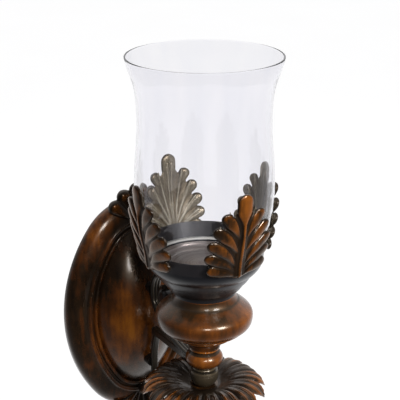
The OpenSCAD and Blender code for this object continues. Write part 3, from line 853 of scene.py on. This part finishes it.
def cut(obj, cutters):
    """Takes the cutters out of the plate, one after the other, and leaves the relief on its back
    even.
    """
    tools = []
    for work in cutters:
        mesh = bpy.data.meshes.new("cutter")
        bmesh.ops.recalc_face_normals(work, faces=work.faces)
        work.to_mesh(mesh)
        work.free()
        tool = bpy.data.objects.new("cutter", mesh)
        bpy.context.scene.collection.objects.link(tool)
        taken = obj.modifiers.new("taken", "BOOLEAN")
        taken.operation = "DIFFERENCE"
        taken.solver = "EXACT"
        taken.object = tool
        tools.append(tool)
    done = with_modifiers(obj)
    obj.modifiers.clear()
    obj.data = done
    for vertex, value in zip(done.vertices, done.attributes["relief"].data):
        if vertex.co.y > BACK_FACE:
            value.value = 0.5
    for tool in tools:
        bpy.data.objects.remove(tool)


KEYHOLE_DEPTH = 7
WASHER_POCKET_DEPTH = 7
plate_piece = plate()
pockets = [hole_cutter(0, (low(n)[2] + high(n)[2]) / 2, high("arm_washers")[0] + 1,
                       WASHER_POCKET_DEPTH)
           for n in ("upper_standoff", "lower_standoff")]
for n in ("upper_keyhole_hanger", "lower_keyhole_hanger"):
    lo, hi = low(n), high(n)
    pockets.append(box_cutter((lo[0] - 0.2, lo[1] - 0.1, lo[2] - 0.2),
                              (hi[0] + 0.2, 5, hi[2] + 0.2)))
    pockets.append(box_cutter((-6, lo[1] - KEYHOLE_DEPTH, lo[2] + 7), (6, 4, lo[2] + 27)))
cut(plate_piece, pockets)
place_piece(plate_piece, "plate_wood", ["wall_plate"])


# ---------------------------------------------------------------- palmettes at the plate's two ends

PALMETTE_IN = 21.6
LOBE_ANGLE = 25
LOBE_REACH = 38


def palmette(name, node, side):
    """Fan of five rounded lobes over the band, from the bead out past the plate's edge."""
    root = HALF_H - PALMETTE_IN
    parts = []
    for k in range(-2, 3):
        turn = math.radians(LOBE_ANGLE * k)
        reach = LOBE_REACH - 1.8 * abs(k)

        def centre(t, turn=turn, reach=reach):
            along = 1.5 + (reach - 1.5) * t
            out = 11.5 - 2.0 * t + 1.6 * math.sin(math.pi * t) + 1.5 * t ** 3
            return (along * math.sin(turn), along * math.cos(turn), out)

        parts.append(tube(centre, lambda t: 1.5 + 5.6 * smoothstep(t * 1.15),
                          lambda t: 2.6 + 2.6 * smoothstep(t * 1.2), tip=0.16, around=24))
    parts.append(tube(lambda t: (0, -5 + 12 * t, 14.5), lambda t: 4.5, lambda t: 2.8, tip=0.45,
                      root=0.45, around=24))
    skin, faces = fused(parts, 0.7, 3)
    relief, _ = relief_of_skin(skin, 0.8, 5, 1.5)
    points = np.stack([skin[:, 0], -skin[:, 2], side * (root + skin[:, 1])], 1)
    place_piece(make_object(name, points, faces, 60, relief), "carved_bronze", [node])


palmette("shell_palmette_top", "top_palmette", 1)
palmette("shell_palmette_bottom", "bottom_palmette", -1)


# ---------------------------------------------------------------- bracket

BAR_Z = BAR_TOP - BAR_SIDE / 2
BAR_SHORT_OF_AXIS = 8
STRAP_T = 5


def strap_path(arcs, step=4):
    """Stations along arcs in the y-z plane, each (centre, radius, from, to) in degrees."""
    path = []
    for k, (centre, r, start, end) in enumerate(arcs):
        n = math.ceil((end - start) / step)
        for i in range(1 if k else 0, n + 1):
            a = math.radians(start + (end - start) * i / n)
            out = (0, math.cos(a), math.sin(a))
            path.append(((0, centre[0] + r * out[1], centre[1] + r * out[2]), (1, 0, 0), out))
    return path


def reeded_section(width, thick, reeds, depth):
    """Half-round reeds side by side on both faces of a strap, and its rounded sides."""
    reed = width / reeds
    face = []
    for k in range(reeds):
        for i in range(1, 8):
            swell = depth * math.sin(math.pi * i / 8)
            face.append((-width / 2 + reed * (k + i / 8), thick / 2 - depth + swell))
        if k < reeds - 1:
            face.append((-width / 2 + reed * (k + 1), thick / 2 - depth))
    side = [(width / 2, thick / 2 - depth - 0.3), (width / 2 + 0.15, 0),
            (width / 2, depth + 0.3 - thick / 2)]
    return face + side + [(-x, -y) for x, y in face] + [(-x, -y) for x, y in side]


def plain_section(width, thick, round_r, n=4):
    """A rectangle with rounded corners, counterclockwise."""
    section = []
    for sx, sy, start in ((1, 1, 0), (-1, 1, 90), (-1, -1, 180), (1, -1, 270)):
        section += arc((sx * (width / 2 - round_r), sy * (thick / 2 - round_r)), round_r, start,
                       start + 90, n)
    return section


def upper_scroll():
    """Reeded strap that rises from the bar in one long arc and curls in through three more."""
    lead_r, volute_r, second_r, third_r = 105, 24, 16, 9.5
    lead_y, lead_turn, curl_end = -114, 34, 436
    lead = (lead_y, BAR_TOP + STRAP_T / 2 - 2 + lead_r)
    turn = math.radians(lead_turn)
    volute = (lead[0] + (lead_r - volute_r) * math.sin(turn),
              lead[1] - (lead_r - volute_r) * math.cos(turn))
    second = (volute[0], volute[1] + volute_r - second_r)
    third = (volute[0], second[1] - second_r + third_r)
    path = strap_path([(lead, lead_r, -90, lead_turn - 90), (volute, volute_r, lead_turn - 90, 90),
                       (second, second_r, 90, 270), (third, third_r, 270, curl_end)], 3)
    section = reeded_section(9, STRAP_T, 3, 0.9)
    stands = [0.35 + 0.6 * (abs(u) > STRAP_T / 2 - 0.5) - 0.25 * (abs(u) < STRAP_T / 2 - 0.8)
              * (abs(s) < 4) for s, u in section]
    return sweep("reeded_scroll", path, section, 50, stands * len(path))


def lower_scroll():
    """C-shaped strap: a tight arc to the socket below, and a wide one to the bar above."""
    tight_r, wide_r = 40, 83.5
    bulge = high("lower_scroll")[1] - STRAP_T / 2
    z = (low("lower_standoff")[2] + high("lower_standoff")[2]) / 2
    path = strap_path([((bulge - tight_r, z), tight_r, -166, 0),
                       ((bulge - wide_r, z), wide_r, 0, 24)], 4)
    section = plain_section(6, STRAP_T, 1.3)
    return sweep("lower_c_scroll", path, section, 50)


def cross_bar():
    """Square bar from the scrolls into the knuckle."""
    start, end = high("cross_bar")[1], -REACH + BAR_SHORT_OF_AXIS
    path = [((0, y, BAR_Z), (1, 0, 0), (0, 0, 1)) for y in np.linspace(start, end, 24)]
    return sweep("square_bar", path, plain_section(BAR_SIDE, BAR_SIDE, 0.9), 50)


place_piece(upper_scroll(), "arm_iron", ["upper_scroll"])
place_piece(lower_scroll(), "arm_iron", ["lower_scroll"])
place_piece(cross_bar(), "arm_iron", ["cross_bar"])


# ---------------------------------------------------------------- CAD pieces that stay

kept = {"arm_iron": ["upper_standoff", "lower_standoff", "scroll_eye"],
        "plated_steel": ["upper_keyhole_hanger", "lower_keyhole_hanger", "hanger_screws",
                         "arm_bolts", "arm_washers", "tie_rod", "bowl_nut", "bowl_washer",
                         "leaf_pins"],
        "gasket_rubber": ["glass_gasket"]}
for slot, nodes in kept.items():
    for node in nodes:
        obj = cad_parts[node]
        obj.data.materials.clear()
        obj.data.materials.append(finish_of[slot])


# ---------------------------------------------------------------- studio

def floor_piece():
    """Plain pale floor well below the sconce."""
    half, z = 6000, -420
    floor = make_object("studio_floor", [(-half, -half, z), (half, -half, z), (half, half, z),
                                         (-half, half, z)], [(0, 1, 2, 3)])
    material, tree, shader, place = begin("pale_floor", Roughness=0.9)
    speck = noise(tree, place, 3, 2)
    tree.links.new(ramp(tree, speck, [(0.3, (0.30, 0.30, 0.30)), (0.7, (0.32, 0.32, 0.32))]),
                   shader.inputs["Base Color"])
    shader.inputs["Emission Color"].default_value = (1, 1, 1, 1)
    shader.inputs["Emission Strength"].default_value = 0.82
    floor.data.materials.append(material)
    floor.visible_diffuse = False
    floor.visible_glossy = False


def soft_light(name, azimuth, elevation, distance, size, watts):
    """A rectangular soft light that faces the column, angles as in a view of the front."""
    a, e = math.radians(azimuth), math.radians(elevation)
    target = Vector((0, -REACH * MM * 0.8, 0.06))
    away = Vector((math.sin(a) * math.cos(e), -math.cos(a) * math.cos(e), math.sin(e)))
    data = bpy.data.lights.new(name, "AREA")
    data.shape = "RECTANGLE"
    data.size, data.size_y = size
    data.energy = watts
    light = bpy.data.objects.new(name, data)
    light.location = target + away * distance
    light.rotation_euler = (-away).to_track_quat("-Z", "Y").to_euler()
    light.light_linking.receiver_collection = glass_apart
    bpy.context.scene.collection.objects.link(light)


# How much brighter the room gets towards the back, the right and the top
BEHIND, RIGHT, ABOVE = 0.62, 0.35, 0.42


def surroundings():
    """White behind, brighter on the right, above and below, and a darker room in front."""
    world = bpy.data.worlds.new("studio")
    world.use_nodes = True
    tree = world.node_tree
    sky = tree.nodes["Background"]
    direction = add(tree, "TexCoord").outputs["Generated"]
    parts = add(tree, "SeparateXYZ", Vector=direction)
    level = calc(tree, "MULTIPLY_ADD", parts.outputs[1], BEHIND,
                 calc(tree, "MULTIPLY", parts.outputs[0], RIGHT))
    facing = calc(tree, "MULTIPLY_ADD", parts.outputs[2], ABOVE, level)
    below = calc(tree, "MAXIMUM", calc(tree, "MULTIPLY", parts.outputs[2], -1), 0)
    facing = calc(tree, "ADD", facing, below)
    light = ramp(tree, calc(tree, "MULTIPLY_ADD", facing, 0.5, 0.5),
                 [(0.36, (0.03, 0.03, 0.032)), (0.60, (0.20, 0.20, 0.21)),
                  (0.78, (0.70, 0.70, 0.71)), (0.90, (1.0, 1.0, 1.02))])
    tree.links.new(light, sky.inputs["Color"])
    sky.inputs["Strength"].default_value = 1.0
    bpy.context.scene.world = world


CAMERA_AT = (-0.44706, -0.8737, 0.4484)
CAMERA_TURN = (70.56, 0.0, -30.84)
LENS = 100.98
SENSOR = 36


def camera():
    """The photo's own point of view."""
    data = bpy.data.cameras.new("camera")
    data.lens = LENS
    data.sensor_width = SENSOR
    view = bpy.data.objects.new("camera", data)
    view.location = CAMERA_AT
    view.rotation_euler = [math.radians(a) for a in CAMERA_TURN]
    bpy.context.scene.collection.objects.link(view)
    bpy.context.scene.camera = view


# The glass casts no shadow and takes no light from the soft lights, whose reflections in it
# would be far larger than the photo's
chimney = bpy.data.objects["hurricane_chimney"]
chimney.visible_shadow = False
glass_apart = bpy.data.collections.new("glass_apart")
glass_apart.objects.link(chimney)
glass_apart.collection_objects[0].light_linking.link_state = "EXCLUDE"
floor_piece()
surroundings()
soft_light("key", 11, 27, 1.5, (0.42, 0.44), 26)
soft_light("fill", -22, 27, 1.7, (0.34, 0.36), 9)
camera()
bpy.context.scene.view_settings.view_transform = "Standard"
